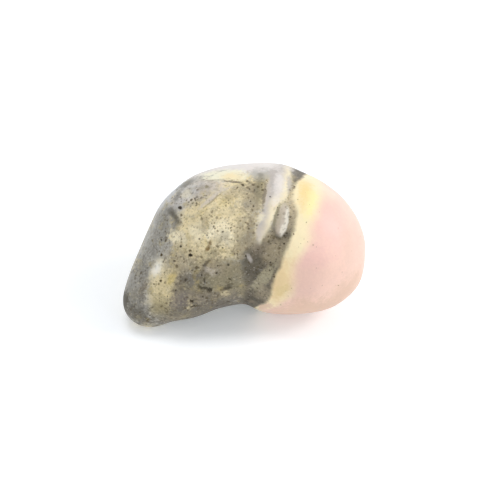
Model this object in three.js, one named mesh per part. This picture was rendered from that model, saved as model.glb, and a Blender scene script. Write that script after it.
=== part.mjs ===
import * as THREE from 'three';
import { mergeVertices } from 'three/addons/utils/BufferGeometryUtils.js';

// A tumbled piece of banded manganoan calcite, in millimetres, +Z up, lying on its flattest side.
// Its length runs along X: the round pink end is at +X and the narrow grey toe at -X.
// The whole stone is one solid, because it broke off and wore round as one piece.

// Driving dimensions

// The stone is a soft union of rounded lumps, each with a centre and its half sizes along X, Y and Z.
const LUMPS = [
  { name: 'toe', centre: [-11.75, -4.7, 2.9], half: [3.05, 3.1, 2.9] },
  { name: 'shank', centre: [-7.8, -2.2, 4.9], half: [5.8, 5.75, 4.8] },
  { name: 'shoulder', centre: [-6.1, 0.75, 7.05], half: [5.65, 6.9, 6.35] },
  { name: 'body', centre: [-1.6, 1.85, 8.1], half: [8.65, 8.95, 8.2] },
  { name: 'crown', centre: [3.45, 3.05, 8.35], half: [6.85, 8.05, 7.45] },
  { name: 'head', centre: [5.8, 0.4, 7.7], half: [8.75, 9.1, 8.2] },
  { name: 'cheek', centre: [9.6, -2.05, 6.75], half: [4.7, 4.7, 4.55] },
];
// How sharply neighbouring lumps meet, per millimetre: a larger number leaves a tighter crease.
const LUMP_BLEND = 1.1;

// Faces worn nearly flat by tumbling: the way each one looks out, and its distance from the origin.
const WORN_FACES = [
  { name: 'underside', outward: [0, 0, -1], distance: 0.25 },
  { name: 'back right', outward: [0.3, 0.9, -0.2], distance: 9.9 },
  { name: 'back left', outward: [-0.5, 0.8, -0.1], distance: 8.9 },
  { name: 'low right end', outward: [0.85, 0.3, -0.45], distance: 9.6 },
];
const WORN_EDGE_BLEND = 3.0;

// A shallow waist runs down the front, along the soft grey band between the grey part and the pink end.
const WAIST_DEPTH = 0.5;
const WAIST_HALF_WIDTH = 1.6;
const WAIST_AT_X = 3.3;
const WAIST_LEAN = THREE.MathUtils.degToRad(66);
// The waist is measured in a plane that leans back from the vertical by this angle.
const WAIST_PLANE_TILT = THREE.MathUtils.degToRad(40);
const WAIST_PLANE_HEIGHT = 8;
// It is deepest below this place in that plane, and fades to a quarter above it.
const WAIST_FADE_AT = -1.0;
const WAIST_FADE_LENGTH = 1.5;
const WAIST_LEAST = 0.25;

// Slow swells over the whole surface, as left by uneven wear of harder and softer bands. They are products of
// sine waves, and each wave has its pace along X, Y and Z, in radians per millimetre, and its start.
const SWELL_HEIGHT = 0.14;
const CROSS_SWELL_SHARE = 0.6;
const SWELL_WAVES = {
  along: { pace: [0.52, 0, 0], start: 0.6 },
  rising: { pace: [0, 0.47, -0.35], start: 1.1 },
  upward: { pace: [0.3, 0, 0.85], start: -0.6 },
  backward: { pace: [0.4, 0.7, 0], start: Math.PI / 2 },
};
// The wave along X sways with height by this many radians, so that no swell repeats in rows.
const SWAY = 0.9;
const SWAY_PACE = 0.4;

// Every point of the surface is seen from the core, so the stone is worked out along rays from it.
const CORE = new THREE.Vector3(-0.5, 1.0, 7.5);
const FARTHEST = 26;
const HALVINGS = 40;
const STEPS_PER_FACE = 24;

// The stone's surface as a level: below zero inside, above zero outside, in about millimetres

function lumpDistance(point, { centre, half }) {
  const [dx, dy, dz] = [point.x - centre[0], point.y - centre[1], point.z - centre[2]];
  const reach = Math.hypot(dx / half[0], dy / half[1], dz / half[2]);
  const meanHalf = (half[0] + half[1] + half[2]) / 3;
  return (reach - 1) * meanHalf;
}

function lumpsLevel(point) {
  let sum = 0;
  for (const lump of LUMPS) sum += Math.exp(-LUMP_BLEND * lumpDistance(point, lump));
  return -Math.log(sum) / LUMP_BLEND;
}

const wornPlanes = WORN_FACES.map(({ outward, distance }) => ({
  outward: new THREE.Vector3(...outward).normalize(),
  distance,
}));

// A soft maximum of the level and of the height above each worn plane shaves the lumps flat.
function shaved(level, point) {
  let sum = Math.exp(WORN_EDGE_BLEND * level);
  for (const { outward, distance } of wornPlanes) {
    sum += Math.exp(WORN_EDGE_BLEND * (point.dot(outward) - distance));
  }
  return Math.log(sum) / WORN_EDGE_BLEND;
}

// The waist is a groove with a bell-shaped section along a slanted line in the leaning plane.
function waist(point) {
  const across = point.x - WAIST_AT_X;
  const height = point.z - WAIST_PLANE_HEIGHT;
  const up = point.y * Math.sin(WAIST_PLANE_TILT) + height * Math.cos(WAIST_PLANE_TILT);
  const side = across * Math.sin(WAIST_LEAN) - up * Math.cos(WAIST_LEAN);
  const low = 1 / (1 + Math.exp((up - WAIST_FADE_AT) / WAIST_FADE_LENGTH));
  const strength = WAIST_LEAST + (1 - WAIST_LEAST) * low;
  return WAIST_DEPTH * strength * Math.exp(-((side / WAIST_HALF_WIDTH) ** 2));
}

function wave({ pace, start }, { x, y, z }, sway = 0) {
  return Math.sin(pace[0] * x + pace[1] * y + pace[2] * z + start + sway);
}

// Two products of waves, about 12 and 8 mm long.
function swells(point) {
  const { along, rising, upward, backward } = SWELL_WAVES;
  const sway = SWAY * Math.sin(SWAY_PACE * point.z);
  const long = wave(along, point, sway) * wave(rising, point);
  const cross = wave(upward, point) * wave(backward, point);
  return SWELL_HEIGHT * (long + CROSS_SWELL_SHARE * cross);
}

function level(point) {
  return shaved(lumpsLevel(point), point) + waist(point) + swells(point);
}

// The distance from the core to the surface along a direction, by halving, cut off flat at the ground.
function surfaceDistance(direction) {
  let near = 0;
  let far = FARTHEST;
  const point = new THREE.Vector3();
  for (let i = 0; i < HALVINGS; i += 1) {
    const middle = (near + far) / 2;
    point.copy(CORE).addScaledVector(direction, middle);
    if (level(point) < 0) near = middle;
    else far = middle;
  }
  const toGround = direction.z < 0 ? -CORE.z / direction.z : Infinity;
  return Math.min((near + far) / 2, toGround);
}

// A cube's six faces, each with an even grid of directions as seen from the middle

const CUBE_FACES = [
  { out: [1, 0, 0], right: [0, 1, 0], up: [0, 0, 1] },
  { out: [-1, 0, 0], right: [0, -1, 0], up: [0, 0, 1] },
  { out: [0, 1, 0], right: [-1, 0, 0], up: [0, 0, 1] },
  { out: [0, -1, 0], right: [1, 0, 0], up: [0, 0, 1] },
  { out: [0, 0, 1], right: [1, 0, 0], up: [0, 1, 0] },
  { out: [0, 0, -1], right: [-1, 0, 0], up: [0, 1, 0] },
];

// Equal angles, so that the squares near a face's edge are no larger than those in its middle.
function gridTangent(step) {
  return Math.tan((Math.PI / 4) * ((2 * step) / STEPS_PER_FACE - 1));
}

function stoneGeometry() {
  const positions = [];
  const indices = [];
  const across = STEPS_PER_FACE + 1;
  for (const { out, right, up } of CUBE_FACES) {
    const first = positions.length / 3;
    for (let row = 0; row < across; row += 1) {
      for (let column = 0; column < across; column += 1) {
        const direction = new THREE.Vector3(...out)
          .addScaledVector(new THREE.Vector3(...right), gridTangent(column))
          .addScaledVector(new THREE.Vector3(...up), gridTangent(row))
          .normalize();
        const point = CORE.clone().addScaledVector(direction, surfaceDistance(direction));
        positions.push(point.x, point.y, Math.max(point.z, 0));
      }
    }
    for (let row = 0; row < STEPS_PER_FACE; row += 1) {
      for (let column = 0; column < STEPS_PER_FACE; column += 1) {
        const a = first + row * across + column;
        const b = a + 1;
        const c = b + across;
        const d = a + across;
        indices.push(a, b, c, a, c, d);
      }
    }
  }
  const geometry = new THREE.BufferGeometry();
  geometry.setAttribute('position', new THREE.Float32BufferAttribute(positions, 3));
  geometry.setIndex(indices);
  return mergeVertices(geometry, 1e-4);
}

// The origin is the middle of the stone's box, on the ground
function centredOnGround(geometry) {
  geometry.computeBoundingBox();
  const middle = geometry.boundingBox.getCenter(new THREE.Vector3());
  geometry.translate(-middle.x, -middle.y, 0);
  geometry.computeVertexNormals();
  return geometry;
}

// The specimen

// One colour stands here for grey, cream and pink together, with a satin polish.
const tumbledCalcite = new THREE.MeshStandardMaterial({ color: 0xc9bcab, roughness: 0.35, metalness: 0 });

const stone = new THREE.Mesh(centredOnGround(stoneGeometry()), tumbledCalcite);
stone.name = 'stone';

const specimen = new THREE.Group();
specimen.add(stone);

export default specimen;
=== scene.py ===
# %% [markdown]
# A tumbled piece of manganoan calcite, 30 mm long, as a lesson in cells.
# The real stone is one pebble: a speckled grey and beige end, a dark band with a pale vein, a cream band
# and a round pink end. The model of its solid shape is already made. This script loads that
# solid, makes a finer surface that stands in its place, and paints the bands and specks through the stone
# with shader nodes, so that the pattern goes on round the sides and the back.

# %% Load the frame
import math

import bpy
import numpy as np
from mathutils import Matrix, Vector


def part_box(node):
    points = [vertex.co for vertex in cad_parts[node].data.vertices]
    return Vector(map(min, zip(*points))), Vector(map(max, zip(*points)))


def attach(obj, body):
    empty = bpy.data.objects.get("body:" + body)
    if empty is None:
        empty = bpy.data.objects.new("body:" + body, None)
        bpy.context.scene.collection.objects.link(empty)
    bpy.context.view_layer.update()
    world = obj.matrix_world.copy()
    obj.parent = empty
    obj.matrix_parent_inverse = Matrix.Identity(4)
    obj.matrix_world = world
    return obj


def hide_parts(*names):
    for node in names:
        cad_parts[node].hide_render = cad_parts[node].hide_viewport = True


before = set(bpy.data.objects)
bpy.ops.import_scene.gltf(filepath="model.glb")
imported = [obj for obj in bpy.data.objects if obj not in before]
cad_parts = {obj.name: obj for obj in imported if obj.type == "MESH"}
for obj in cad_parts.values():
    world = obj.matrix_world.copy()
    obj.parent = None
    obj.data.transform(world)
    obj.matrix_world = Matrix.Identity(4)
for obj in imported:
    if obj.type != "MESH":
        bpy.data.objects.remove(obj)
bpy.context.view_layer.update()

MM = 0.001

# %% [markdown]
# The face of the stone is the side seen from the front, looking down at 40 degrees. The bands and specks
# are placed on it in millimetres across and up, as on a sheet of glass held in front of the stone, and a
# third number says how near a place is to the viewer. One turning matrix changes between the stone's own
# axes and these three, so it is worked out once and used for the shape, the colours and the camera.

# %% The face's own axes
VIEW_RISE = math.radians(40)
ACROSS = np.array([1.0, 0.0, 0.0])
UP = np.array([0.0, math.sin(VIEW_RISE), math.cos(VIEW_RISE)])
NEAR = np.array([0.0, -math.cos(VIEW_RISE), math.sin(VIEW_RISE)])
FACE_AXES = np.array([ACROSS, UP, NEAR])
FACE_MIDDLE = np.array([0.0, 0.0, 8.0])
print("the viewer is towards", NEAR.round(3))

# %% [markdown]
# The form of the stone is a soft union of rounded lumps, as a pebble's is once tumbling has worn its corners
# away. It could be sculpted by hand, but a formula gives the same stone on every run, and it is the one
# that the solid model was made with: each lump says how far outside it a point is, and a sum of
# exponentials melts the lumps together.

# %% Lumps and worn faces, in millimetres
LUMPS = {
    "toe": ((-11.75, -4.7, 2.9), (3.05, 3.1, 2.9)),
    "shank": ((-7.8, -2.2, 4.9), (5.8, 5.75, 4.8)),
    "shoulder": ((-6.1, 0.75, 7.05), (5.65, 6.9, 6.35)),
    "body": ((-1.6, 1.85, 8.1), (8.65, 8.95, 8.2)),
    "crown": ((3.45, 3.05, 8.35), (6.85, 8.05, 7.45)),
    "head": ((5.8, 0.4, 7.7), (8.75, 9.1, 8.2)),
    "cheek": ((9.6, -2.05, 6.75), (4.7, 4.7, 4.55)),
}
LUMP_BLEND = 1.1
WORN_FACES = {
    "underside": ((0.0, 0.0, -1.0), 0.25),
    "back right": ((0.3, 0.9, -0.2), 9.9),
    "back left": ((-0.5, 0.8, -0.1), 8.9),
    "low right end": ((0.85, 0.3, -0.45), 9.6),
}
WORN_EDGE_BLEND = 3.0


def lumps_level(points):
    """Minus the log of a sum of exponentials, one for each lump, of minus the distance outside it.

    The distance outside a lump is its scaled radius less one, times its mean half size.
    """
    total = np.zeros(points.shape[:-1])
    for centre, half in LUMPS.values():
        reach = np.linalg.norm((points - centre) / half, axis=-1)
        total += np.exp(-LUMP_BLEND * (reach - 1) * np.mean(half))
    return -np.log(total) / LUMP_BLEND


def shaved(level, points):
    """A soft maximum of the level and the height above each worn plane, so the lumps are cut flat there."""
    total = np.exp(WORN_EDGE_BLEND * level)
    for outward, distance in WORN_FACES.values():
        normal = np.array(outward) / np.linalg.norm(outward)
        total += np.exp(WORN_EDGE_BLEND * (points @ normal - distance))
    return np.log(total) / WORN_EDGE_BLEND


# %% [markdown]
# Two things break the smooth union up. A shallow waist follows the softer grey band down the front, where
# the real stone wore faster. Slow swells run over everything, because no band wears quite evenly. Both are
# simply added to the level, which moves the surface in or out by that much.

# %% The waist and the swells
WAIST_DEPTH, WAIST_HALF_WIDTH = 0.5, 1.6
WAIST_AT_X, WAIST_LEAN = 3.3, math.radians(66)
WAIST_FADE_AT, WAIST_FADE_LENGTH, WAIST_LEAST = -1.0, 1.5, 0.25
SWELL_HEIGHT, CROSS_SWELL_SHARE = 0.14, 0.6
# each wave's pace along x, y and z, in radians per millimetre, and its start in radians
SWELL_WAVES = {
    "along": ((0.52, 0.0, 0.0), 0.6),
    "rising": ((0.0, 0.47, -0.35), 1.1),
    "upward": ((0.3, 0.0, 0.85), -0.6),
    "backward": ((0.4, 0.7, 0.0), math.pi / 2),
}
SWAY, SWAY_PACE = 0.9, 0.4


def waist(points):
    """A bell-shaped groove along a slanted line on the face, deepest at the bottom."""
    across = points @ ACROSS - WAIST_AT_X
    up = (points - FACE_MIDDLE) @ UP
    side = across * math.sin(WAIST_LEAN) - up * math.cos(WAIST_LEAN)
    low = 1 / (1 + np.exp((up - WAIST_FADE_AT) / WAIST_FADE_LENGTH))
    strength = WAIST_LEAST + (1 - WAIST_LEAST) * low
    return WAIST_DEPTH * strength * np.exp(-((side / WAIST_HALF_WIDTH) ** 2))


def wave(name, points, sway=0.0):
    """The sine of a place's dot product with the wave's pace, plus its start and a sway."""
    pace, start = SWELL_WAVES[name]
    return np.sin(points @ np.array(pace) + start + sway)


def swells(points):
    """Two products of sine waves, about 12 and 8 mm long, the first swaying with height."""
    sway = SWAY * np.sin(SWAY_PACE * points[..., 2])
    long = wave("along", points, sway) * wave("rising", points)
    cross = wave("upward", points) * wave("backward", points)
    return SWELL_HEIGHT * (long + CROSS_SWELL_SHARE * cross)


def stone_level(points):
    """Below zero inside the stone and above zero outside it, in about millimetres."""
    return shaved(lumps_level(points), points) + waist(points) + swells(points)


# %% [markdown]
# Every part of the surface can be seen from one core point inside the stone. So the surface is a function of
# direction alone: the distance to the skin. The directions are an even grid on the six faces of a cube,
# blown up to a sphere. Unlike the circles of a globe, this has no poles where triangles crowd together.

# %% Directions from the core
GRID_STEPS = 120
SHARED_DIGITS = 7
CUBE_FACES = (
    ((1, 0, 0), (0, 1, 0), (0, 0, 1)),
    ((-1, 0, 0), (0, -1, 0), (0, 0, 1)),
    ((0, 1, 0), (-1, 0, 0), (0, 0, 1)),
    ((0, -1, 0), (1, 0, 0), (0, 0, 1)),
    ((0, 0, 1), (1, 0, 0), (0, 1, 0)),
    ((0, 0, -1), (-1, 0, 0), (0, 1, 0)),
)


def cube_directions(steps):
    """Unit directions over a cube's faces at equal angles, and the four corners of each small square.

    A direction is the face's outward axis plus the tangents of the two grid angles times its side axes.
    Points that two faces share, as they agree to this many digits, are kept once.
    """
    tangent = np.tan(np.pi / 4 * np.linspace(-1, 1, steps + 1))
    rows, columns = np.meshgrid(tangent, tangent, indexing="ij")
    corner = np.arange(steps)
    first = (corner[:, None] * (steps + 1) + corner).ravel()
    square = np.stack([first, first + 1, first + steps + 2, first + steps + 1], axis=1)
    faces = [
        np.array(out) + columns[..., None] * np.array(right) + rows[..., None] * np.array(up)
        for out, right, up in CUBE_FACES
    ]
    grids = np.concatenate([face.reshape(-1, 3) for face in faces])
    grids /= np.linalg.norm(grids, axis=1, keepdims=True)
    squares = np.concatenate([square + i * (steps + 1) ** 2 for i in range(len(CUBE_FACES))])
    rounded = grids.round(SHARED_DIGITS)
    _, kept, merged = np.unique(rounded, axis=0, return_index=True, return_inverse=True)
    return grids[kept], merged.reshape(-1)[squares]


directions, squares = cube_directions(GRID_STEPS)
print("directions:", len(directions), "squares:", len(squares))

# %% [markdown]
# The distance along each direction is found by halving: the skin is always between a point known to be
# inside and one known to be outside. All the rays are halved together as one array. The few rays that would
# go under the table stop at it, which leaves the flat that the stone rests on.

# %% Distance to the skin
CORE = np.array([-0.5, 1.0, 7.5])
FARTHEST, HALVINGS = 26.0, 30
ALMOST_LEVEL = 1e-9


def skin(directions):
    """Points where rays from the core leave the stone, by halving, and no lower than the table."""
    near = np.zeros(len(directions))
    far = np.full(len(directions), FARTHEST)
    for _ in range(HALVINGS):
        middle = (near + far) / 2
        inside = stone_level(CORE + directions * middle[:, None]) < 0
        near = np.where(inside, middle, near)
        far = np.where(inside, far, middle)
    downward = np.minimum(directions[:, 2], -ALMOST_LEVEL)
    to_table = np.where(directions[:, 2] < 0, -CORE[2] / downward, np.inf)
    return CORE + directions * np.minimum((near + far) / 2, to_table)[:, None]


points = skin(directions)
points[:, 2] = np.maximum(points[:, 2], 0)
print("smooth stone, mm:", (points.max(0) - points.min(0)).round(2))

# %% [markdown]
# The markings are given on the face in millimetres. To sit in the skin, each one also needs to know how near
# the viewer the skin is at that place. The mesh itself answers that: the closest point of its front half.

# %% Where the skin is behind a place on the face
# how far behind the core the front half reaches, and how much a tied point's squared gap may be larger
BEHIND_CORE, TIE = 1.5, 0.02
face_points = (points - FACE_MIDDLE) @ FACE_AXES.T
core_in_face = (CORE - FACE_MIDDLE) @ FACE_AXES.T
front_half = face_points[face_points[:, 2] > core_in_face[2] - BEHIND_CORE]


def nearness(across, up):
    """How near the viewer the skin is behind a place on the face: that of the closest front point."""
    gap = (front_half[:, 0] - across) ** 2 + (front_half[:, 1] - up) ** 2
    closest = front_half[gap < gap.min() + TIE]
    return float(closest[:, 2].max())


print("nearness at the middle of the face:", round(nearness(0, 0), 2))

# %% [markdown]
# Tumbling can't reach into small hollows, so they stay as pits. The larger ones are dark because grit lies
# in them. They could be faked with shading alone, but real hollows also show at the edge. Each pit pushes
# the skin inward by a bell curve of its distance.

# %% Pits
# name: (across, up, half width, depth) on the face, in millimetres
PITS = {
    "oval pit": (-7.7, 4.57, 0.3, 0.22),
    "rusty cleft top": (-4.05, 0.15, 0.22, 0.18),
    "rusty cleft foot": (-4.25, -0.5, 0.28, 0.2),
    "slit head": (-4.1, -1.8, 0.2, 0.16),
    "slit foot": (-4.9, -2.65, 0.22, 0.18),
    "black pit": (-6.4, -1.16, 0.25, 0.22),
    "bowl left": (-4.95, -5.1, 0.3, 0.16),
    "bowl right": (-4.1, -5.5, 0.35, 0.24),
    "low pit": (-1.7, -5.1, 0.35, 0.22),
    "short slit": (-6.1, -7.4, 0.25, 0.14),
    "round pit": (-6.3, -6.85, 0.2, 0.16),
    "seam by the vein": (2.3, 5.3, 0.22, 0.12),
}
STRAY_PITS, STRAY_PIT_SEED = 90, 7
STRAY_PIT_WIDTHS, STRAY_PIT_DEPTH_SHARE = (0.12, 0.24), 0.35
GREY_END_UP_TO_X, CLEAR_OF_TABLE = 3.0, 0.5


def pit_places():
    """Centres, half widths and depths of all pits: the named ones, and small strays over the grey end."""
    named = [
        (FACE_MIDDLE + np.array([across, up, nearness(across, up)]) @ FACE_AXES, half_width, depth)
        for across, up, half_width, depth in PITS.values()
    ]
    random = np.random.default_rng(STRAY_PIT_SEED)
    grey_end = points[(points[:, 0] < GREY_END_UP_TO_X) & (points[:, 2] > CLEAR_OF_TABLE)]
    places = grey_end[random.integers(0, len(grey_end), STRAY_PITS)]
    half_widths = random.uniform(*STRAY_PIT_WIDTHS, STRAY_PITS)
    strays = [(place, width, STRAY_PIT_DEPTH_SHARE * width) for place, width in zip(places, half_widths)]
    return named + strays


def pitted(points):
    """The skin, moved towards the core by the sum of a bell curve round each pit."""
    inward = np.zeros(len(points))
    for place, half_width, depth in pit_places():
        away = np.sum((points - place) ** 2, axis=1)
        inward += depth * np.exp(-away / half_width**2)
    moved = points - directions * inward[:, None]
    moved[:, 2] = np.maximum(moved[:, 2], 0)
    return moved


pitted_points = pitted(points)
deepest = np.linalg.norm(pitted_points - points, axis=1).max()
print("pits:", len(PITS) + STRAY_PITS, "deepest, mm:", round(deepest, 2))

# %% [markdown]
# The finished skin becomes one mesh. It is moved so that it stands exactly where the solid model stands, and
# then takes that solid's place in the picture, while the solid itself stays for weight and contact.

# %% The stone's mesh
def shown(name, data):
    """Makes an object of a mesh, a lamp or a camera, and puts it in the scene."""
    thing = bpy.data.objects.new(name, data)
    bpy.context.scene.collection.objects.link(thing)
    return thing


solid_low, solid_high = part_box("stone")
low, high = pitted_points.min(0), pitted_points.max(0)
shift = [(a + b) / 2 / MM - (c + d) / 2 for a, b, c, d in zip(solid_low, solid_high, low, high)]
PLACE = np.array([shift[0], shift[1], 0.0])

mesh = bpy.data.meshes.new("pebble")
mesh.from_pydata(((pitted_points + PLACE) * MM).tolist(), [], squares.tolist())
mesh.shade_smooth()
pebble = shown("pebble", mesh)
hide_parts("stone")
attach(pebble, "root")
print("moved by, mm:", PLACE.round(2), "triangles:", 2 * len(mesh.polygons))

# %% [markdown]
# A shader is a sum: fade this mark in, tint that zone. Wiring each Math node by hand hides the sum, so a
# small class lets a node's number be used in plain arithmetic, and adds the Math nodes by itself. Every
# other node comes from one method: its type, its settings, and the values or links of its sockets.

# %% Shader arithmetic
class Reading:
    """A number that a node gives. Sums and products of readings add the Math nodes that work them out."""

    def __init__(self, recipe, socket):
        self.recipe = recipe
        self.socket = socket

    def __add__(self, other):
        return self.recipe.maths("ADD", self, other)

    def __radd__(self, other):
        return self.recipe.maths("ADD", other, self)

    def __sub__(self, other):
        return self.recipe.maths("SUBTRACT", self, other)

    def __rsub__(self, other):
        return self.recipe.maths("SUBTRACT", other, self)

    def __mul__(self, other):
        return self.recipe.maths("MULTIPLY", self, other)

    def __rmul__(self, other):
        return self.recipe.maths("MULTIPLY", other, self)

    def __truediv__(self, other):
        return self.recipe.maths("DIVIDE", self, other)


class Recipe:
    """A material's node tree, with one method that adds any node."""

    def __init__(self, name):
        self.material = bpy.data.materials.new(name)
        self.material.use_nodes = True
        self.tree = self.material.node_tree
        self.tree.nodes.clear()

    def node(self, kind, settings=None, inputs=None, output=0):
        """Adds a node, sets its settings first and its sockets next, and gives one of its outputs."""
        node = self.tree.nodes.new(kind)
        for name, value in (settings or {}).items():
            if name == "curve":
                self.bend(node.mapping, value)
            else:
                setattr(node, name, value)
        for name, value in (inputs or {}).items():
            if isinstance(value, Reading):
                self.tree.links.new(value.socket, node.inputs[name])
            elif isinstance(value, bpy.types.NodeSocket):
                self.tree.links.new(value, node.inputs[name])
            else:
                node.inputs[name].default_value = value
        socket = node.outputs[output]
        return Reading(self, socket) if socket.type == "VALUE" else socket

    def bend(self, mapping, curve):
        """Puts a curve's points, in order and each from 0 to 1, into a curve node, level past its ends."""
        mapping.extend = "HORIZONTAL"
        points = mapping.curves[0].points
        points[0].location = curve[0]
        points[1].location = curve[-1]
        for place in curve[1:-1]:
            points.new(*place)
        mapping.update()

    def maths(self, operation, first, second):
        """Adds a Math node of two numbers."""
        return self.node("ShaderNodeMath", {"operation": operation}, {0: first, 1: second})

    def surface(self, shader):
        """Makes a shader the material's surface."""
        output = self.tree.nodes.new("ShaderNodeOutputMaterial")
        self.tree.links.new(shader, output.inputs["Surface"])


# %% [markdown]
# Colours are written as seen on a screen, from 0 to 255, because that is how a picture is read. The shader
# counts light, not screen steps, so each one is changed to its share of light when it is used. The stone is
# lit a little more brightly than plain white would show, so each share is divided by that brightness.

# %% Pigments
PIGMENTS = {
    "smoke": (184, 180, 171),
    "pale smoke": (211, 212, 214),
    "slate": (138, 134, 125),
    "charcoal": (94, 88, 74),
    "ink": (44, 32, 10),
    "speck": (80, 66, 36),
    "earth": (112, 105, 93),
    "umber": (128, 117, 100),
    "dusk": (128, 119, 115),
    "olive": (142, 133, 105),
    "sage": (166, 157, 130),
    "clay": (168, 155, 128),
    "putty": (216, 205, 192),
    "beige": (234, 217, 174),
    "ivory": (246, 234, 202),
    "milk": (252, 249, 240),
    "straw": (212, 190, 118),
    "butter": (252, 236, 196),
    "lemon": (254, 242, 178),
    "honey": (252, 222, 156),
    "low cream": (242, 212, 160),
    "lilac grey": (196, 188, 181),
    "lilac brown": (208, 195, 178),
    "warm white": (238, 230, 214),
    "tan": (200, 182, 148),
    "cream core": (248, 234, 200),
    "pale cream": (255, 249, 222),
    "lilac white": (241, 233, 227),
    "rust": (118, 90, 38),
    "pink": (246, 209, 192),
    "rose": (246, 202, 192),
    "mauve": (226, 188, 176),
    "peach": (252, 222, 200),
    "shell": (236, 202, 185),
    "sand": (227, 193, 169),
}
BRIGHTNESS = 1.12


def light(name):
    """A pigment's red, green and blue as shares of light, by the screen's own curve, over the brightness."""
    shown = [value / 255 for value in PIGMENTS[name]]
    linear = [c / 12.92 if c <= 0.04045 else ((c + 0.055) / 1.055) ** 2.4 for c in shown]
    return (*[c / BRIGHTNESS for c in linear], 1.0)


print("pigments:", len(PIGMENTS))

# %% [markdown]
# The pattern reads the stone's own coordinates, turned by a Mapping node so that its three numbers are the
# face's across, up and near in millimetres. Edges of real bands wander, so the marks read a wobbled copy
# of those coordinates: the same place, pushed about a little by soft noise. Broad stains wobble most.

# %% Pattern coordinates
recipe = Recipe("banded calcite")
object_place = recipe.node("ShaderNodeTexCoord", output="Object")
face = recipe.node(
    "ShaderNodeMapping",
    {"vector_type": "TEXTURE"},
    {
        "Vector": object_place,
        "Location": tuple((FACE_MIDDLE + PLACE) * MM),
        "Rotation": (math.pi / 2 - VIEW_RISE, 0, 0),
        "Scale": (MM, MM, MM),
    },
)


def noise(at, wavelength, detail=2.0, output="Fac", roughness=0.5):
    """Soft noise with swells of about this many millimetres."""
    inputs = {"Vector": at, "Scale": 1 / wavelength, "Detail": detail, "Roughness": roughness}
    return recipe.node("ShaderNodeTexNoise", inputs=inputs, output=output)


def channels(tint, count=3):
    """The first channels of a colour, each as a number."""
    return [recipe.node("ShaderNodeSeparateColor", inputs={0: tint}, output=i) for i in range(count)]


def three_noises(at, wavelength, detail=2.0, roughness=0.5):
    """Three soft noises that don't follow each other, from the colour of one noise node."""
    return channels(noise(at, wavelength, detail, "Color", roughness))


def wobbled(at, wavelength, size):
    """The same place, pushed about by up to half this size along each axis."""
    push = noise(at, wavelength, output="Color")
    shares = {0: push, 1: (size,) * 3, 2: (-size / 2,) * 3}
    offset = recipe.node("ShaderNodeVectorMath", {"operation": "MULTIPLY_ADD"}, shares)
    return recipe.node("ShaderNodeMapping", {"vector_type": "POINT"}, {"Vector": at, "Location": offset})


# each wobble has a wavelength and then a size, both in millimetres
fine_face = wobbled(wobbled(face, 0.2, 0.12), 0.5, 0.22)
crisp_face = wobbled(wobbled(fine_face, 0.9, 0.35), 2.2, 0.5)
soft_face = wobbled(wobbled(crisp_face, 0.3, 0.7), 1.5, 1.2)

# %% [markdown]
# Close to, the stone is grainy: cloudy at a millimetre and gritty at a third of that. Two noise nodes give
# six noises that don't follow each other. They darken, lighten and tint the grounds, and two of them
# together, less their mean, fray the edges of the marks.

# %% Clouds and grit
CLOUD_SIZE, GRIT_SIZE = 1.4, 0.32
FRAY = 1.2
clouds, smoke, stain = three_noises(crisp_face, CLOUD_SIZE, detail=4, roughness=0.6)
grit, salt, pepper = three_noises(face, GRIT_SIZE, detail=3, roughness=0.6)
fray = (grit + smoke - 1.0) * FRAY

# %% [markdown]
# Marks come in two kinds. A blot is a soft-edged ellipsoid in the stone, cut through by the skin. A band
# lies between two edges, and each edge is a curve that says how far across it is at every height.

# %% Helpers for blots and bands
# a blot's gradient is this many times its size, and it reaches this much deeper, in mm, than it is long
BLOT_SPREAD, BLOT_EXTRA_DEPTH = 3, 0.6
fray_share = fray * (1 / BLOT_SPREAD)


def step(value, low, high):
    """0 below low, 1 above high and a smooth rise between them."""
    inputs = {"Value": value, "From Min": low, "From Max": high}
    return recipe.node("ShaderNodeMapRange", {"interpolation_type": "SMOOTHSTEP"}, inputs)


def blend(amount, under, over):
    """One colour laid over another by an amount from 0 to 1."""
    return recipe.node("ShaderNodeMix", {"data_type": "RGBA"}, {0: amount, 6: under, 7: over}, output=2)


def shaded(colour, amount):
    """A colour times an amount: a mix from black that may go past the colour itself."""
    settings = {"data_type": "RGBA", "clamp_factor": False}
    inputs = {0: amount, 6: (0.0, 0.0, 0.0, 1.0), 7: colour}
    return recipe.node("ShaderNodeMix", settings, inputs, output=2)


def grainy(colour, least, cloudy, gritty):
    """A colour darkened to its least share and lit again by the clouds and the grit."""
    return shaded(colour, least + clouds * cloudy + grit * gritty)


def blot(at, across, up, half_long, half_short, turn=0.0, soft=0.8, frayed=True):
    """1 in an ellipsoid that sits in the skin and 0 outside it, fading over this share of its size.

    A spherical gradient is 1 less the distance from its middle, so one three times as large as the blot
    passes two thirds at the blot's edge. Most edges are frayed; those of grown crystal are smooth.
    """
    halves = np.array([half_long, half_short, half_long + BLOT_EXTRA_DEPTH])
    inputs = {
        "Vector": at,
        "Location": (across, up, nearness(across, up)),
        "Rotation": (0, 0, math.radians(turn)),
        "Scale": tuple(BLOT_SPREAD * halves),
    }
    local = recipe.node("ShaderNodeMapping", {"vector_type": "TEXTURE"}, inputs)
    fade = recipe.node("ShaderNodeTexGradient", {"gradient_type": "SPHERICAL"}, {0: local}, output="Fac")
    if frayed:
        fade = fade - fray_share
    rim = BLOT_SPREAD - 1
    return step(fade, (rim - soft / 2) / BLOT_SPREAD, (rim + soft / 2) / BLOT_SPREAD)


def paint(colour, marks, at, frayed=True):
    """Lays named marks over a colour, one after another, each a blot in its own pigment and strength."""
    for across, up, half_long, half_short, turn, pigment, strength, soft in marks.values():
        mark = blot(at, across, up, half_long, half_short, turn, soft, frayed)
        colour = blend(mark * strength, colour, light(pigment))
    return colour


def parts_of(at):
    """The across, up and near numbers of a place."""
    return [recipe.node("ShaderNodeSeparateXYZ", inputs={0: at}, output=i) for i in range(3)]


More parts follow.
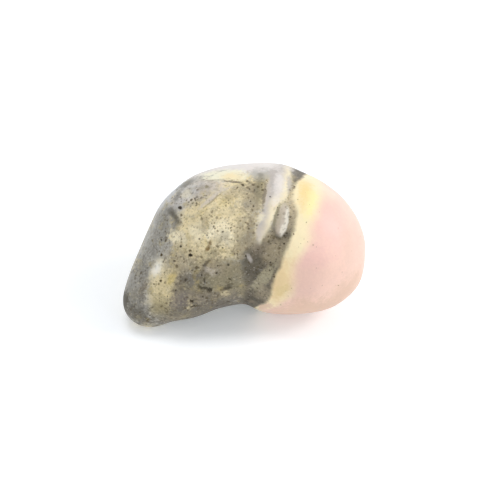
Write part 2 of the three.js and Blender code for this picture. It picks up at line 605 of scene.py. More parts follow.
def edge(up, points):
    """How far across an edge is at a height, on a smooth curve through points of (up, across)."""
    ups, overs = zip(*points)
    low, tall = min(ups), max(ups) - min(ups)
    left, wide = min(overs), max(overs) - min(overs)
    curve = sorted(((u - low) / tall, (a - left) / wide) for u, a in points)
    share = recipe.node("ShaderNodeFloatCurve", {"curve": curve}, {"Value": (up - low) / tall})
    return share * wide + left


# %% [markdown]
# The grey end is the rock that the calcite grew in. Its ground drifts between smoke and beige. Over it lie
# broad soft patches, each listed by name. Some of them are painted shade: the foot darkens the bottom edge,
# and the toe's left side and underside are darkened. The toe cream is paler at its top, a painted highlight,
# and darker at its foot, painted shade. The cream on the toe is smoother, so its edges aren't frayed.

# %% The grey end's ground and patches
# name: (across, up, half long, half short, all in millimetres, turn in degrees, pigment, strength, softness)
UPPER_PATCHES = {
    "left flank": (-10.6, 0.4, 6.2, 2.9, 66, "smoke", 1.0, 0.7),
    "flank shade": (-9.6, 2.4, 3.0, 1.2, 70, "slate", 0.6, 1.1),
    "flank streak": (-11.6, -1.0, 2.6, 0.6, 68, "slate", 0.4, 1.1),
    "shoulder": (-5.6, 6.6, 3.6, 1.6, 22, "putty", 1.0, 0.9),
    "beige field": (-3.2, 2.7, 5.0, 3.6, 4, "beige", 1.0, 0.6),
    "beige by the flank": (-7.1, 0.9, 2.1, 1.4, -18, "beige", 0.95, 0.6),
    "beige foot": (-2.9, -0.7, 3.2, 1.5, -4, "beige", 0.8, 0.9),
    "ivory cloud": (-2.6, 1.5, 1.8, 1.5, 0, "ivory", 0.75, 0.9),
    "ivory sliver": (-3.85, 1.5, 0.95, 0.5, 80, "ivory", 0.85, 0.5),
    "ivory shelf": (-5.5, 1.5, 1.2, 0.9, 70, "ivory", 0.65, 0.9),
    "ivory corner": (-8.6, 0.9, 0.9, 0.6, -40, "ivory", 0.9, 0.7),
    "olive hollow": (-4.7, 2.7, 1.2, 0.5, 80, "clay", 0.6, 0.9),
    "olive stain": (-2.0, 5.2, 1.2, 0.7, 20, "straw", 0.35, 1.0),
    "grey under the thread": (-1.2, 6.3, 1.7, 0.8, 35, "clay", 0.55, 1.1),
    "shoulder grey": (-7.4, 6.1, 2.4, 1.2, 42, "pale smoke", 0.5, 1.1),
    "smoke by the vein": (1.0, 5.9, 2.6, 1.3, 84, "clay", 0.8, 0.9),
    "smoke at the top": (1.7, 7.3, 1.5, 0.8, 70, "umber", 0.45, 1.1),
    "beige by the vein": (-0.2, 1.2, 2.6, 1.0, 84, "clay", 0.5, 0.9),
    "clay below the vein": (0.4, -0.1, 1.6, 1.0, 30, "clay", 0.8, 1.1),
    "brown hollow": (-3.3, -0.9, 0.8, 0.6, 20, "olive", 0.6, 1.1),
    "ivory crest": (-2.3, 1.0, 0.95, 0.7, 0, "ivory", 0.95, 0.9),
    "ivory by the flank": (-8.0, 1.0, 1.4, 0.75, -30, "ivory", 0.85, 1.0),
}
LOWER_PATCHES = {
    "low left": (-7.6, -1.9, 2.0, 1.7, 0, "clay", 0.6, 1.1),
    "low middle": (-3.1, -3.1, 3.6, 1.6, -6, "clay", 0.95, 0.9),
    "low right": (-0.9, -4.0, 1.6, 2.8, 0, "olive", 0.7, 1.0),
    "low brown": (-6.0, -5.0, 2.3, 1.9, 80, "earth", 0.85, 0.9),
    "low olive": (-2.4, -5.4, 3.2, 1.8, -8, "olive", 0.9, 0.9),
    "low shade": (-3.6, -6.6, 3.2, 1.2, 5, "umber", 0.7, 1.0),
    # painted shade: the foot blot darkens the grey end along its bottom edge
    "foot": (-4.6, -8.2, 6.4, 1.3, 11, "earth", 0.95, 0.8),
    "foot beige": (-7.9, -8.9, 1.4, 0.5, 12, "clay", 0.5, 0.8),
    "pale low spot": (-4.1, -3.3, 0.7, 0.5, -20, "putty", 0.45, 1.3),
    "pale olive spot": (-2.2, -5.9, 0.55, 0.4, 30, "beige", 0.5, 0.8),
}
TOE_PATCHES = {
    # painted shade over the grey rock: toe grey darkens the toe's left side
    "toe grey": (-13.0, -4.2, 3.4, 1.3, 72, "slate", 0.6, 0.9),
    "toe brown": (-8.0, -3.6, 2.6, 0.9, 84, "clay", 0.5, 1.1),
    "toe right": (-7.8, -5.6, 1.9, 0.9, 80, "earth", 0.7, 1.1),
    # painted shade: toe under darkens the underside behind the toe
    "toe under": (-9.0, -8.0, 2.2, 0.8, 12, "earth", 0.7, 1.1),
    "toe smear": (-12.3, -5.6, 1.2, 0.45, 88, "umber", 0.7, 1.1),
    # painted shade: toe left foot and toe bottom darken the toe's lower left and bottom
    "toe left foot": (-13.0, -7.6, 1.7, 1.3, -40, "slate", 0.7, 1.1),
    "toe bottom": (-12.9, -8.8, 2.0, 1.1, -30, "charcoal", 0.7, 1.1),
}
TOE_CREAM = {
    "yellow": (-10.1, -5.6, 2.6, 1.1, 86, "straw", 0.55, 1.5),
    "body": (-10.3, -4.7, 2.4, 1.0, 86, "beige", 0.8, 1.5),
    # painted highlight: the ivory top of the toe cream
    "top": (-10.5, -3.2, 1.1, 0.7, 60, "ivory", 0.8, 1.5),
    "straw": (-8.7, -4.1, 0.8, 0.4, 60, "straw", 0.7, 1.2),
    # painted shade: the olive foot of the toe cream
    "foot": (-10.0, -7.7, 1.3, 1.1, 0, "olive", 0.6, 1.6),
}
DRIFT_SIZE, DRIFT_RANGE = 5.0, (0.4, 0.6)
drift = step(noise(face, DRIFT_SIZE, detail=3), *DRIFT_RANGE)
ground = blend(drift, light("smoke"), light("beige"))
ground = paint(ground, UPPER_PATCHES, soft_face)
ground = paint(ground, LOWER_PATCHES, soft_face)
ground = paint(ground, TOE_PATCHES, soft_face)
ground = paint(ground, TOE_CREAM, crisp_face, frayed=False)
print("patches:", len(UPPER_PATCHES) + len(LOWER_PATCHES) + len(TOE_PATCHES) + len(TOE_CREAM))

# %% [markdown]
# The six noises now go over the ground. Clouds and grit darken it and lighten it, smoke lays olive wisps on
# it, and stain makes it greyer where it is high and yellow where it is low, as a little iron does. The
# finest grains, pale and dark, are salt and pepper.

# %% The grain of the grey end
# name: (where the noise begins to show, where it is full, strength)
GRAIN = {
    "olive wisps": (0.5, 0.68, 0.36),
    "grey stains": (0.52, 0.7, 0.3),
    "yellow stains": (0.44, 0.3, 0.3),
    "salt": (0.58, 0.7, 0.3),
    "pepper": (0.55, 0.72, 0.55),
}


def grain(name, level):
    """Where a noise's level shows as this grain, from 0 to the grain's strength."""
    begins, full, strength = GRAIN[name]
    return step(level, begins, full) * strength


ground = grainy(ground, 0.4, cloudy=0.7, gritty=0.52)
ground = blend(grain("olive wisps", smoke), ground, light("olive"))
ground = blend(grain("grey stains", stain), ground, light("slate"))
salted = grain("salt", salt)
peppered = grain("pepper", pepper)
ground = blend(salted, ground, light("ivory"))
ground = blend(peppered, ground, light("speck"))
ground = blend(grain("yellow stains", stain), ground, light("straw"))

# %% [markdown]
# The upper left rim is painted pale grey as a painted reflection, and across the top lies a lilac-white
# zone, a painted reflection of the bright room along the top edge, with a cream patch in it. A thin brown
# thread runs under the cream, and a lilac one slants down from it. A dark smear follows the rim.

# %% The rim, the top zone and its threads
RIM_AND_TOP = {
    # painted reflection: the pale grey rim on the upper left
    "pale rim painted reflection": (-9.2, 6.5, 2.9, 0.9, 50, "pale smoke", 0.9, 0.8),
    "rim smear": (-7.0, 7.6, 1.1, 0.45, 32, "slate", 0.7, 0.9),
    "rim smear foot": (-8.1, 6.0, 0.9, 0.35, 68, "slate", 0.75, 0.8),
    "lit spot": (-7.0, 6.3, 0.7, 0.6, 40, "ivory", 0.5, 0.9),
    # painted reflection: lilac-white bands along the top edge
    "top lilac painted reflection": (1.6, 10.0, 8.0, 1.25, 0, "lilac white", 1.0, 0.5),
    "top left lilac painted reflection": (-5.2, 9.1, 2.7, 0.7, 22, "lilac white", 0.75, 0.9),
    "top cream": (-2.6, 8.6, 2.9, 0.8, -2, "pale cream", 1.0, 0.8),
    "top honey": (-1.5, 8.4, 1.2, 0.5, 0, "honey", 0.5, 1.2),
    "top smudge": (2.4, 8.9, 1.5, 1.1, 20, "smoke", 0.8, 1.0),
    "top smudge dark": (2.8, 9.5, 0.6, 0.18, 0, "slate", 0.6, 0.9),
    "top smudge spot": (2.1, 8.7, 0.4, 0.22, 0, "slate", 0.5, 0.9),
}
THREADS = {
    "brown thread": (-1.3, 7.7, 1.2, 0.13, -5, "umber", 0.8, 0.8),
    "brown thread end": (-3.7, 7.9, 1.4, 0.1, 4, "umber", 0.35, 0.9),
    "lilac thread": (-3.9, 5.65, 1.6, 0.24, 41, "putty", 0.8, 0.7),
    "lilac thread edge": (-3.65, 5.45, 1.6, 0.1, 41, "umber", 0.5, 0.9),
    "lilac thread end": (-2.1, 6.8, 0.9, 0.16, 22, "putty", 0.5, 0.9),
}
ground = paint(ground, RIM_AND_TOP, crisp_face)
ground = paint(ground, THREADS, fine_face)
print("rim, top and thread marks:", len(RIM_AND_TOP) + len(THREADS))

# %% [markdown]
# The bands run through the whole stone, so each edge is a curve up the face that carries straight on to the
# back. There it is shifted by slow waves, because a band that was laid down by water never keeps its line.

# %% Edges of the bands
# each point is (up, across) in millimetres, from the bottom of the stone to its top
PINK_EDGE = [
    (-7.9, 2.3), (-7.0, 4.7), (-5.8, 5.9), (-4.6, 6.0), (-3.1, 6.1), (-1.7, 6.6), (-0.5, 7.5),
    (0.9, 8.0), (2.1, 8.2), (3.8, 8.9), (7.0, 9.6), (8.4, 9.4),
]
CREAM_EDGE = [
    (-7.7, 1.4), (-6.8, 2.8), (-6.2, 3.2), (-5.1, 3.5), (-3.8, 3.8), (-2.6, 4.45), (-1.2, 4.95),
    (0.1, 5.5), (1.5, 6.05), (2.8, 6.3), (4.1, 6.4), (5.0, 6.1), (5.8, 5.95), (7.0, 6.15),
    (8.4, 7.4), (9.3, 7.7), (10.2, 7.5),
]
DARK_EDGE = [
    (-7.8, -0.1), (-6.2, -0.1), (-4.6, 0.1), (-2.7, -0.1), (-1.2, 0.1), (-0.1, 1.1), (0.6, 2.1),
    (1.2, 2.6), (1.9, 3.3), (2.8, 4.0), (3.8, 5.0), (4.8, 5.4), (6.2, 5.5), (7.7, 6.0), (9.0, 5.8),
    (10.2, 5.2),
]
VEIN_LEFT = [
    (-0.1, 1.9), (1.5, 1.65), (2.4, 1.75), (3.3, 1.8), (4.3, 2.4), (5.8, 2.65), (7.2, 2.85), (8.3, 3.1),
    (9.5, 3.3),
]
VEIN_RIGHT = [
    (-0.1, 1.9), (0.5, 2.3), (1.6, 2.8), (2.6, 3.3), (3.3, 3.7), (4.6, 4.0), (5.1, 4.6), (5.5, 5.1),
    (6.3, 5.4), (7.7, 5.9), (9.1, 5.7), (10.2, 5.2),
]
CORE_LEFT = [
    (-0.1, 1.5), (1.1, 2.1), (2.6, 2.6), (3.8, 3.0), (5.2, 3.4), (6.4, 4.1), (7.9, 4.8), (9.1, 5.1),
    (10.2, 5.2),
]
# half the width over which an edge changes, in millimetres
SOFTNESS = {"dark": 0.8, "vein": 0.35, "core": 0.7, "pink": 1.0, "cream": 0.38}
# the sway begins and is full at these near numbers
SWAY_BEGINS, SWAY_FULL = 1.0, -7.0
BACK_SWAY, BACK_SWAY_SIZE = 10.0, 6.0
RAGGED = 0.9

crisp_across, up, crisp_near = parts_of(crisp_face)
behind = step(crisp_near, SWAY_BEGINS, SWAY_FULL)
across = crisp_across + behind * (noise(face, BACK_SWAY_SIZE) - 0.5) * BACK_SWAY
ragged_across = across + fray * RAGGED


def right_of(points, softness, across=across):
    """0 left of an edge and 1 right of it, changing within the softness on each side."""
    return step(across - edge(up, points), -softness, softness)


# %% [markdown]
# The dark band is the most iron-rich rock, mottled from charcoal to clay. The vein beside it is calcite that
# filled a crack: lilac grey at its left, with a cream core. It pinches out where the dark rock spreads.

# %% The dark band and the vein
DARK_MARKS = {
    "top": (6.6, 9.0, 1.3, 0.8, 110, "charcoal", 0.5, 1.0),
    "strip": (5.8, 5.4, 2.6, 0.9, 88, "tan", 0.95, 0.9),
    "right of the almond": (5.8, 2.8, 1.8, 0.6, 80, "clay", 0.8, 1.0),
    "heart": (0.9, -2.9, 1.7, 0.9, 66, "charcoal", 0.7, 1.1),
    "end": (5.4, 1.0, 0.9, 0.6, 40, "charcoal", 0.6, 1.1),
    "brown": (3.9, -0.7, 1.7, 1.1, 50, "clay", 0.9, 1.1),
    "leaf": (2.25, -4.2, 2.5, 0.72, 50, "sage", 1.0, 0.6),
    "leaf foot": (2.3, -5.8, 1.4, 0.9, 20, "clay", 0.6, 1.1),
    "leaf rim": (1.3, -3.9, 2.1, 0.22, 48, "charcoal", 0.8, 1.2),
    "under the vein": (3.0, 0.9, 0.9, 0.5, 30, "clay", 0.8, 1.0),
    "cleft": (0.05, -4.6, 2.9, 0.4, 90, "charcoal", 0.7, 1.2),
    "cleft foot": (0.2, -7.0, 0.6, 0.45, 90, "ink", 0.6, 1.1),
}
MOTTLE_RANGE, DARK_PEPPER = (0.36, 0.64), 1.3
in_dark = right_of(DARK_EDGE, SOFTNESS["dark"], ragged_across)
dark = blend(step(smoke, *MOTTLE_RANGE), light("umber"), light("charcoal"))
dark = paint(dark, DARK_MARKS, crisp_face)
dark = grainy(dark, 0.35, cloudy=0.6, gritty=0.8)
dark = blend(salted, dark, light("putty"))
dark = blend(peppered * DARK_PEPPER, dark, light("ink"))
colour = blend(in_dark, ground, dark)

VEIN_FOOT, VEIN_LEAST, VEIN_CLOUDY = (-0.4, 0.6), 0.86, 0.28
from_left = right_of(VEIN_LEFT, SOFTNESS["vein"])
past_right = right_of(VEIN_RIGHT, SOFTNESS["vein"])
in_vein = from_left * (1 - past_right) * step(up, *VEIN_FOOT)
core_share = right_of(CORE_LEFT, SOFTNESS["core"])
vein = blend(core_share, light("lilac grey"), light("cream core"))
VEIN_MARKS = {
    "pale right": (5.7, 7.4, 1.9, 0.45, 84, "lilac grey", 0.8, 1.0),
    # painted highlight: a small ivory spot on a bulge of the vein
    "painted highlight on the bulge": (1.95, 3.2, 0.6, 0.35, 55, "ivory", 0.7, 1.2),
    "left shade": (2.9, 6.3, 1.8, 0.45, 80, "putty", 0.5, 1.1),
    "top light": (4.3, 7.3, 2.4, 0.6, 80, "lilac white", 0.8, 1.2),
    "foot": (2.0, 1.2, 1.2, 0.5, 70, "putty", 0.5, 1.1),
}
vein = paint(vein, VEIN_MARKS, crisp_face)
vein = shaded(vein, VEIN_LEAST + clouds * VEIN_CLOUDY)
colour = blend(in_vein, colour, vein)
# painted reflection: lilac white laid over the top edge
PAINTED_TOP_REFLECTION = {"painted reflection over the top": (2.6, 10.1, 2.2, 1.0, -8, "lilac white", 0.8, 1.1)}
colour = paint(colour, PAINTED_TOP_REFLECTION, soft_face)

# %% [markdown]
# By the vein floats an almond of lilac-brown calcite with a pale rim on its right, and olive rock fills the
# gap between them. A dark smear runs down the vein's left side, and one pale grain lies in the dark rock.

# %% The almond and its neighbours
BY_THE_VEIN = {
    "olive by the vein": (1.95, 6.7, 1.9, 0.6, 82, "olive", 0.7, 1.2),
    "vein smear": (2.55, 6.1, 1.4, 0.22, 82, "umber", 0.75, 0.9),
    "vein smear foot": (1.5, 4.6, 0.9, 0.3, 50, "clay", 0.6, 0.9),
    "shade by the vein": (0.85, 2.0, 1.5, 0.45, 80, "umber", 0.6, 1.1),
    "olive gap": (3.95, 3.4, 1.5, 0.24, 74, "olive", 0.85, 0.9),
}
ALMOND = {
    "almond": (4.6, 3.15, 1.95, 0.55, 77, "lilac brown", 0.9, 0.6),
    "almond shade": (4.3, 3.1, 1.4, 0.3, 75, "clay", 0.5, 1.2),
    "almond rim": (5.25, 3.4, 1.1, 0.26, 84, "warm white", 0.9, 0.8),
    "almond tip": (4.85, 2.0, 1.0, 0.34, 66, "warm white", 0.9, 0.7),
    "pale grain": (0.75, -1.6, 0.55, 0.25, -65, "lilac grey", 0.7, 0.9),
}
colour = paint(colour, BY_THE_VEIN, fine_face)
colour = paint(colour, ALMOND, fine_face, frayed=False)
print("almond marks:", len(BY_THE_VEIN) + len(ALMOND))

# %% [markdown]
# Right of the dark rock the stone is clean calcite: a cream band, deep yellow near its top, then the pink
# end that manganese colours. The change from cream to pink is slow, so that edge is soft.

# %% The cream band and the pink end
CREAM_MARKS = {
    "honey": (7.6, 6.5, 2.3, 0.9, 86, "honey", 0.85, 1.4),
    "lemon": (8.3, 5.0, 1.8, 0.7, 78, "lemon", 0.8, 1.4),
    "low cream": (4.5, -4.7, 3.0, 1.5, 62, "low cream", 0.78, 1.4),
    "green tinge": (4.7, -5.5, 1.3, 0.6, 25, "straw", 0.25, 1.3),
    "tongue": (2.5, -7.6, 1.4, 0.5, 35, "sand", 0.8, 0.9),
}
PINK_MARKS = {
    "rosy field": (10.4, 3.0, 4.0, 2.4, 105, "rose", 0.8, 1.6),
    "rosy spot": (8.6, -1.6, 1.7, 1.3, 0, "rose", 0.8, 1.6),
    "mauve shade": (7.6, -3.9, 3.2, 1.8, 78, "mauve", 0.4, 1.9),
    "peach top": (9.8, 7.0, 1.8, 1.2, -50, "peach", 0.85, 1.3),
    # painted highlight: a pale band down the right side of the pink end
    "painted highlight down the right side": (13.2, -0.6, 3.6, 1.4, 82, "shell", 0.8, 1.5),
    "sandy rim": (12.6, -5.8, 3.6, 1.4, 42, "sand", 0.8, 1.4),
    "foot": (8.0, -7.9, 4.6, 1.2, 5, "sand", 0.9, 1.3),
    "upper rim": (10.7, 8.0, 3.6, 0.5, -44, "sand", 0.5, 1.2),
}
cream = paint(light("butter"), CREAM_MARKS, soft_face)
pink = paint(light("pink"), PINK_MARKS, soft_face)
clean = blend(right_of(PINK_EDGE, SOFTNESS["pink"]), cream, pink)
clean = grainy(clean, 0.91, cloudy=0.1, gritty=0.08)
in_cream = right_of(CREAM_EDGE, SOFTNESS["cream"])
colour = blend(in_cream, colour, clean)

# %% [markdown]
# Dark specks are everywhere in the grey end, crowded in some places and thin in others, but the vein and the
# top zone hold few and the clean calcite almost none. Scattering them by a Voronoi texture costs two nodes
# for hundreds of grains: each cell holds one grain, and its random colour says whether the grain is there,
# how large it is and how dark.

# %% Scattered specks
# name: (cell and largest radius in millimetres, share of the cells that hold a grain)
SPECKS = {
    "dust": (0.34, 0.12, 0.9),
    "grains": (0.62, 0.2, 0.95),
    "lumps": (1.9, 0.22, 0.8),
    "rare": (1.2, 0.1, 0.4),
}
SPECK_STRENGTH = {"dust": 0.8, "grains": 0.95, "lumps": 0.85, "rare": 0.4}
# a speck fades in from this far outside its radius to this far inside it
SPECK_FADE, FAINTEST_SPECK = (0.07, -0.05), 0.35
CROWD_SIZE, CROWD_RANGE, LEAST_CROWDED = 1.6, (0.4, 0.6), 0.3
CLEAN_VEIN, CLEAN_TOP = 0.85, 0.9


def specks(name, at):
    """Round grains of uneven darkness, one to a cell, of which only a share are there."""
    cell, largest, share = SPECKS[name]
    inputs = {"Vector": at, "Scale": 1 / cell}
    gap = recipe.node("ShaderNodeTexVoronoi", inputs=inputs, output="Distance") * cell
    dice = recipe.node("ShaderNodeTexVoronoi", inputs=inputs, output="Color")
    luck, second_luck = channels(dice, 2)
    radius = step(luck, 1 - share, 1.0) * largest
    return step(gap - radius, *SPECK_FADE) * (FAINTEST_SPECK + second_luck * (1 - FAINTEST_SPECK))


crowd = step(noise(face, CROWD_SIZE), *CROWD_RANGE)
crowding = LEAST_CROWDED + crowd * (1 - LEAST_CROWDED)
top_zone = blot(crisp_face, across=0.0, up=9.6, half_long=9.0, half_short=1.5, soft=0.6)
rocky = (1 - in_cream) * (1 - in_vein * CLEAN_VEIN) * (1 - top_zone * CLEAN_TOP)
dust = specks("dust", fine_face) * rocky * crowding
grains = specks("grains", fine_face) * rocky * crowding
lumps = specks("lumps", fine_face) * rocky
colour = blend(dust * SPECK_STRENGTH["dust"], colour, light("speck"))
colour = blend(grains * SPECK_STRENGTH["grains"], colour, light("speck"))
colour = blend(lumps * SPECK_STRENGTH["lumps"], colour, light("ink"))
rare = specks("rare", face) * in_cream
colour = blend(rare * SPECK_STRENGTH["rare"], colour, light("rust"))

# %% [markdown]
# The larger grains are placed one by one. The near number is squeezed, so that each grain is long towards
# the viewer and can't miss the skin.

# %% Placed grains
# each is (across, up, radius) on the face, in millimetres
DARK_GRAINS = [
    (-7.6, -0.2, 0.22), (-5.3, 0.7, 0.2), (-3.6, 2.2, 0.17), (-2.55, 1.55, 0.2), (-1.5, 2.05, 0.14),
    (-2.5, -0.35, 0.17), (-3.9, -1.05, 0.16), (-3.1, -2.5, 0.18), (-1.8, -2.4, 0.24), (-1.6, -4.15, 0.18),
    (-5.05, -3.65, 0.17), (-3.25, -3.4, 0.2), (-7.0, -4.25, 0.26), (0.85, 5.3, 0.17), (1.2, 4.7, 0.17),
    (3.25, 5.85, 0.13), (4.15, 4.55, 0.13), (4.15, 3.6, 0.17), (0.45, 7.8, 0.2), (-0.05, 7.3, 0.16),
    (-0.7, 7.0, 0.16), (0.75, 6.8, 0.17), (1.35, 6.7, 0.15), (0.45, 6.2, 0.15), (6.05, 1.3, 0.16),
    (4.9, 1.1, 0.17), (4.9, 0.1, 0.2), (5.2, 1.4, 0.17), (3.25, -2.15, 0.18), (3.15, -3.05, 0.2),
    (3.7, -3.85, 0.18), (0.3, -1.35, 0.18), (6.2, 7.1, 0.2), (-5.9, 5.65, 0.2), (-6.65, 5.25, 0.16),
    (-5.7, 5.05, 0.2), (-10.0, 0.65, 0.17), (-9.75, -2.05, 0.2), (-12.7, -1.2, 0.15), (-8.4, -1.95, 0.2),
    (-10.9, -4.8, 0.14), (-9.25, -6.25, 0.12), (-9.0, -7.4, 0.13), (-11.4, -8.6, 0.14), (-4.9, -6.3, 0.2),
    (-7.2, -6.6, 0.16), (-5.0, -8.1, 0.15), (-6.2, -3.1, 0.16), (-8.2, -5.5, 0.18),
]
RUST_GRAINS = [
    (11.5, 2.05, 0.08), (12.3, 4.15, 0.08), (11.55, -4.95, 0.14), (9.5, -4.95, 0.1), (8.8, -2.8, 0.08),
    (11.1, -1.35, 0.07), (8.8, -0.25, 0.08), (4.5, -7.3, 0.17), (8.3, 7.3, 0.08), (7.5, 6.4, 0.08),
    (6.6, 5.5, 0.11), (9.1, 5.6, 0.06), (8.0, 4.9, 0.07), (9.2, 4.0, 0.06), (7.6, 2.7, 0.11),
    (7.3, 0.7, 0.08), (7.7, 0.35, 0.09), (6.9, 0.15, 0.08), (6.6, -0.3, 0.07), (5.8, -5.25, 0.09),
    (5.1, -5.6, 0.08), (5.4, -6.2, 0.1), (8.6, -8.0, 0.08), (8.1, -5.2, 0.07),
]
SQUEEZE, GRAIN_CORE = 0.4, 0.3
DARK_GRAIN_STRENGTH, RUST_GRAIN_STRENGTH = 0.8, 0.6
squeezed = recipe.node(
    "ShaderNodeVectorMath", {"operation": "MULTIPLY"}, {0: fine_face, 1: (1.0, 1.0, SQUEEZE)}
)


def placed(grains):
    """1 in the core of any of the placed grains, fading to 0 at its radius."""
    covered = 0.0
    for across, up, radius in grains:
        middle = (across, up, nearness(across, up) * SQUEEZE)
        ends = {0: squeezed, 1: middle}
        gap = recipe.node("ShaderNodeVectorMath", {"operation": "DISTANCE"}, ends, "Value")
        covered = recipe.maths("MAXIMUM", covered, step(gap, radius, radius * GRAIN_CORE))
    return covered


colour = blend(placed(DARK_GRAINS) * DARK_GRAIN_STRENGTH, colour, light("ink"))
colour = blend(placed(RUST_GRAINS) * RUST_GRAIN_STRENGTH, colour, light("rust"))
print("placed grains:", len(DARK_GRAINS) + len(RUST_GRAINS))

# %% [markdown]
# Some hollows and clefts hold dark grit or rust. They are long rather than round, so they are blots, and the
# sharpest of them lie over the pits in the mesh. With them go the last soft smudges, a painted shade on the
# toe's left tip and a painted highlight on top of the toe.

# %% Grit in the hollows, and painted shade and highlight on the toe
HOLLOWS_AND_PAINTED_TOE_LIGHT = {
    "oval": (-7.7, 4.57, 0.3, 0.2, 0, "ink", 0.95, 0.6),
    "dark trail top": (-8.9, 4.1, 0.65, 0.35, -20, "charcoal", 0.55, 1.6),
    "dark trail": (-8.35, 3.45, 0.95, 0.3, -52, "charcoal", 0.75, 1.3),
    "dark trail foot": (-8.1, 2.7, 0.6, 0.45, 80, "charcoal", 0.5, 1.6),
    "soft spot": (-4.55, 7.1, 0.3, 0.25, 0, "olive", 0.8, 1.0),
    "rust": (-4.05, 0.1, 0.5, 0.18, 80, "rust", 0.6, 1.4),
    "rust foot": (-4.3, -0.5, 0.35, 0.24, 60, "rust", 0.8, 1.4),
    "slit": (-4.5, -2.2, 0.75, 0.17, 42, "ink", 0.6, 1.4),
    "black": (-6.45, -1.16, 0.26, 0.23, 0, "ink", 1.0, 0.7),
    "arc": (-6.1, -2.3, 0.45, 0.14, -10, "olive", 0.7, 1.2),
    "bowl": (-4.8, -5.15, 0.8, 0.2, -10, "ink", 0.7, 1.0),
    "bowl end": (-4.2, -5.4, 0.38, 0.28, 0, "ink", 0.75, 1.0),
    "low cluster": (-1.9, -5.1, 0.75, 0.28, 30, "ink", 0.7, 1.1),
    "upright": (-4.75, -4.4, 0.35, 0.14, 88, "ink", 0.7, 1.2),
    "line": (-5.9, -7.5, 0.65, 0.13, 8, "ink", 0.75, 1.0),
    "dot": (-6.25, -6.85, 0.28, 0.17, 0, "ink", 0.9, 0.8),
    "lilac patch": (-7.9, -6.6, 1.3, 0.75, 42, "dusk", 0.55, 1.5),
    # painted shade on the toe's left tip, then a painted highlight on top of the toe
    "painted shade on the toe tip": (-14.7, -6.9, 1.5, 0.75, 92, "charcoal", 1.0, 0.9),
    "painted highlight on the toe": (-10.6, -2.9, 0.8, 0.5, 60, "milk", 0.75, 1.7),
}
colour = paint(colour, HOLLOWS_AND_PAINTED_TOE_LIGHT, crisp_face)
print("hollows:", len(HOLLOWS_AND_PAINTED_TOE_LIGHT))

# %% [markdown]
# The finish is a tumble polish, which on soft calcite stays a little waxy. Light enters the stone and comes
# out close by, so some of it goes through subsurface scattering. The grey rock polishes less well, so it
# is rougher and less even, and its specks stand a few hundredths of a millimetre lower.

# %% The polish
POLISH = {
    "IOR": 1.5,
    "Specular IOR Level": 0.25,
    "Subsurface Weight": 0.15,
    "Subsurface Radius": (1.0, 0.75, 0.6),
    "Subsurface Scale": 0.0008,
}
ROUGHNESS, SMOOTHER_CREAM, ROUGHER_GRIT = 0.4, 0.06, 0.1
RELIEF = {"clouds": 0.5, "grit": 0.6, "dust": 0.5, "grains": 0.8}
RELIEF_DEPTH, RELIEF_STRENGTH, EVEN_CREAM = 0.07, 0.3, 0.85
raised = clouds * RELIEF["clouds"] + grit * RELIEF["grit"]
uneven = raised - dust * RELIEF["dust"] - grains * RELIEF["grains"]
relief = uneven * (1 - in_cream * EVEN_CREAM)
hills = {"Height": relief, "Strength": RELIEF_STRENGTH, "Distance": RELIEF_DEPTH * MM}
bump = recipe.node("ShaderNodeBump", inputs=hills)
roughness = ROUGHNESS - in_cream * SMOOTHER_CREAM + grit * ROUGHER_GRIT
surface = recipe.node(
    "ShaderNodeBsdfPrincipled",
    inputs={"Base Color": colour, "Roughness": roughness, "Normal": bump, **POLISH},
)
recipe.surface(surface)
pebble.data.materials.append(recipe.material)
print("nodes in the stone's material:", len(recipe.tree.nodes))

# %% [markdown]
# The stone lies on plain white card. The card has no texture, so it is one large plane that bounces light up
# into the stone's underside, as the real one does.

# %% The card
# half of the card's side, in metres
CARD_HALF = 1.5
CARD_WHITE = (0.92, 0.92, 0.93, 1.0)
CARD_GLOW, CARD_GLOW_COLOUR = 0.23, (0.88, 0.95, 1.0, 1.0)
card_mesh = bpy.data.meshes.new("card")
corners = [(x * CARD_HALF, y * CARD_HALF, 0) for x, y in ((-1, -1), (1, -1), (1, 1), (-1, 1))]
card_mesh.from_pydata(corners, [], [(0, 1, 2, 3)])
card = shown("card", card_mesh)
paper = Recipe("white card")
matt = paper.node(
    "ShaderNodeBsdfPrincipled",
    inputs={
        "Base Color": CARD_WHITE,
        "Roughness": 1.0,
        "Specular IOR Level": 0.0,
        "Emission Color": CARD_GLOW_COLOUR,
        "Emission Strength": CARD_GLOW,
    },
)
paper.surface(matt)
card.data.materials.append(paper.material)
print("card, m:", 2 * CARD_HALF)

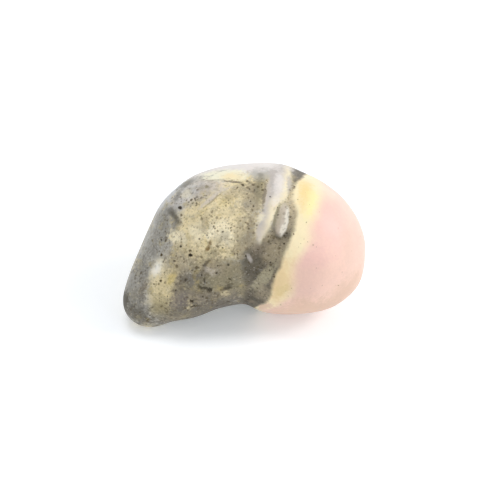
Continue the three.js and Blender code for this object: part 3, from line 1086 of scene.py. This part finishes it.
# %% [markdown]
# The light is soft: a window to the right, a panel overhead, a weak fill at the front right, and a pale
# blue room all round. The picture is a bright one, so the card is meant to come out white, and it glows a
# little so that the shadow on it stays faint.

# %% Light
ROOM_COLOUR = (0.95, 0.975, 1.0, 1.0)
ROOM_STRENGTH = 0.64
# name: (place and width in metres, watts)
PANELS = {
    "window": ((0.3, 0.02, 0.22), 0.16, 0.58),
    "overhead": ((-0.06, 0.04, 0.37), 0.16, 0.35),
    "fill": ((0.24, -0.22, 0.15), 0.2, 0.1),
}
world = bpy.data.worlds.new("pale room")
world.use_nodes = True
room = world.node_tree.nodes["Background"].inputs
room["Color"].default_value = ROOM_COLOUR
room["Strength"].default_value = ROOM_STRENGTH
bpy.context.scene.world = world


def panel(name, place, width, watts):
    """A square light panel at a place, facing the middle of the stone."""
    lamp = bpy.data.lights.new(name, "AREA")
    lamp.shape = "SQUARE"
    lamp.size = width
    lamp.energy = watts
    holder = shown(name, lamp)
    holder.location = place
    to_stone = Vector(FACE_MIDDLE * MM) - Vector(place)
    holder.rotation_euler = to_stone.to_track_quat("-Z", "Y").to_euler()


for name, (place, width, watts) in PANELS.items():
    panel(name, place, width, watts)
print("light panels:", len(PANELS))

# %% [markdown]
# The camera stands 300 mm from the stone and 40 degrees above the table, with a long lens, so that the stone
# keeps its proportions. It aims a little right of and below the middle of the face, as the picture does.

# %% The camera
PIXELS, MM_PER_PIXEL = 500, 0.1235
CAMERA_DISTANCE, SENSOR = 300.0, 36.0
AIM_RIGHT, AIM_DOWN = 0.80, 0.62
aim = FACE_MIDDLE + PLACE + AIM_RIGHT * ACROSS - AIM_DOWN * UP
camera = bpy.data.cameras.new("camera")
camera.sensor_width = SENSOR
camera.lens = SENSOR * CAMERA_DISTANCE / (PIXELS * MM_PER_PIXEL)
camera_holder = shown("camera", camera)
camera_holder.location = tuple((aim + CAMERA_DISTANCE * NEAR) * MM)
camera_holder.rotation_euler = (math.pi / 2 - VIEW_RISE, 0, 0)
bpy.context.scene.camera = camera_holder
bpy.context.scene.view_settings.view_transform = "Standard"
print("lens, mm:", round(camera.lens, 1))
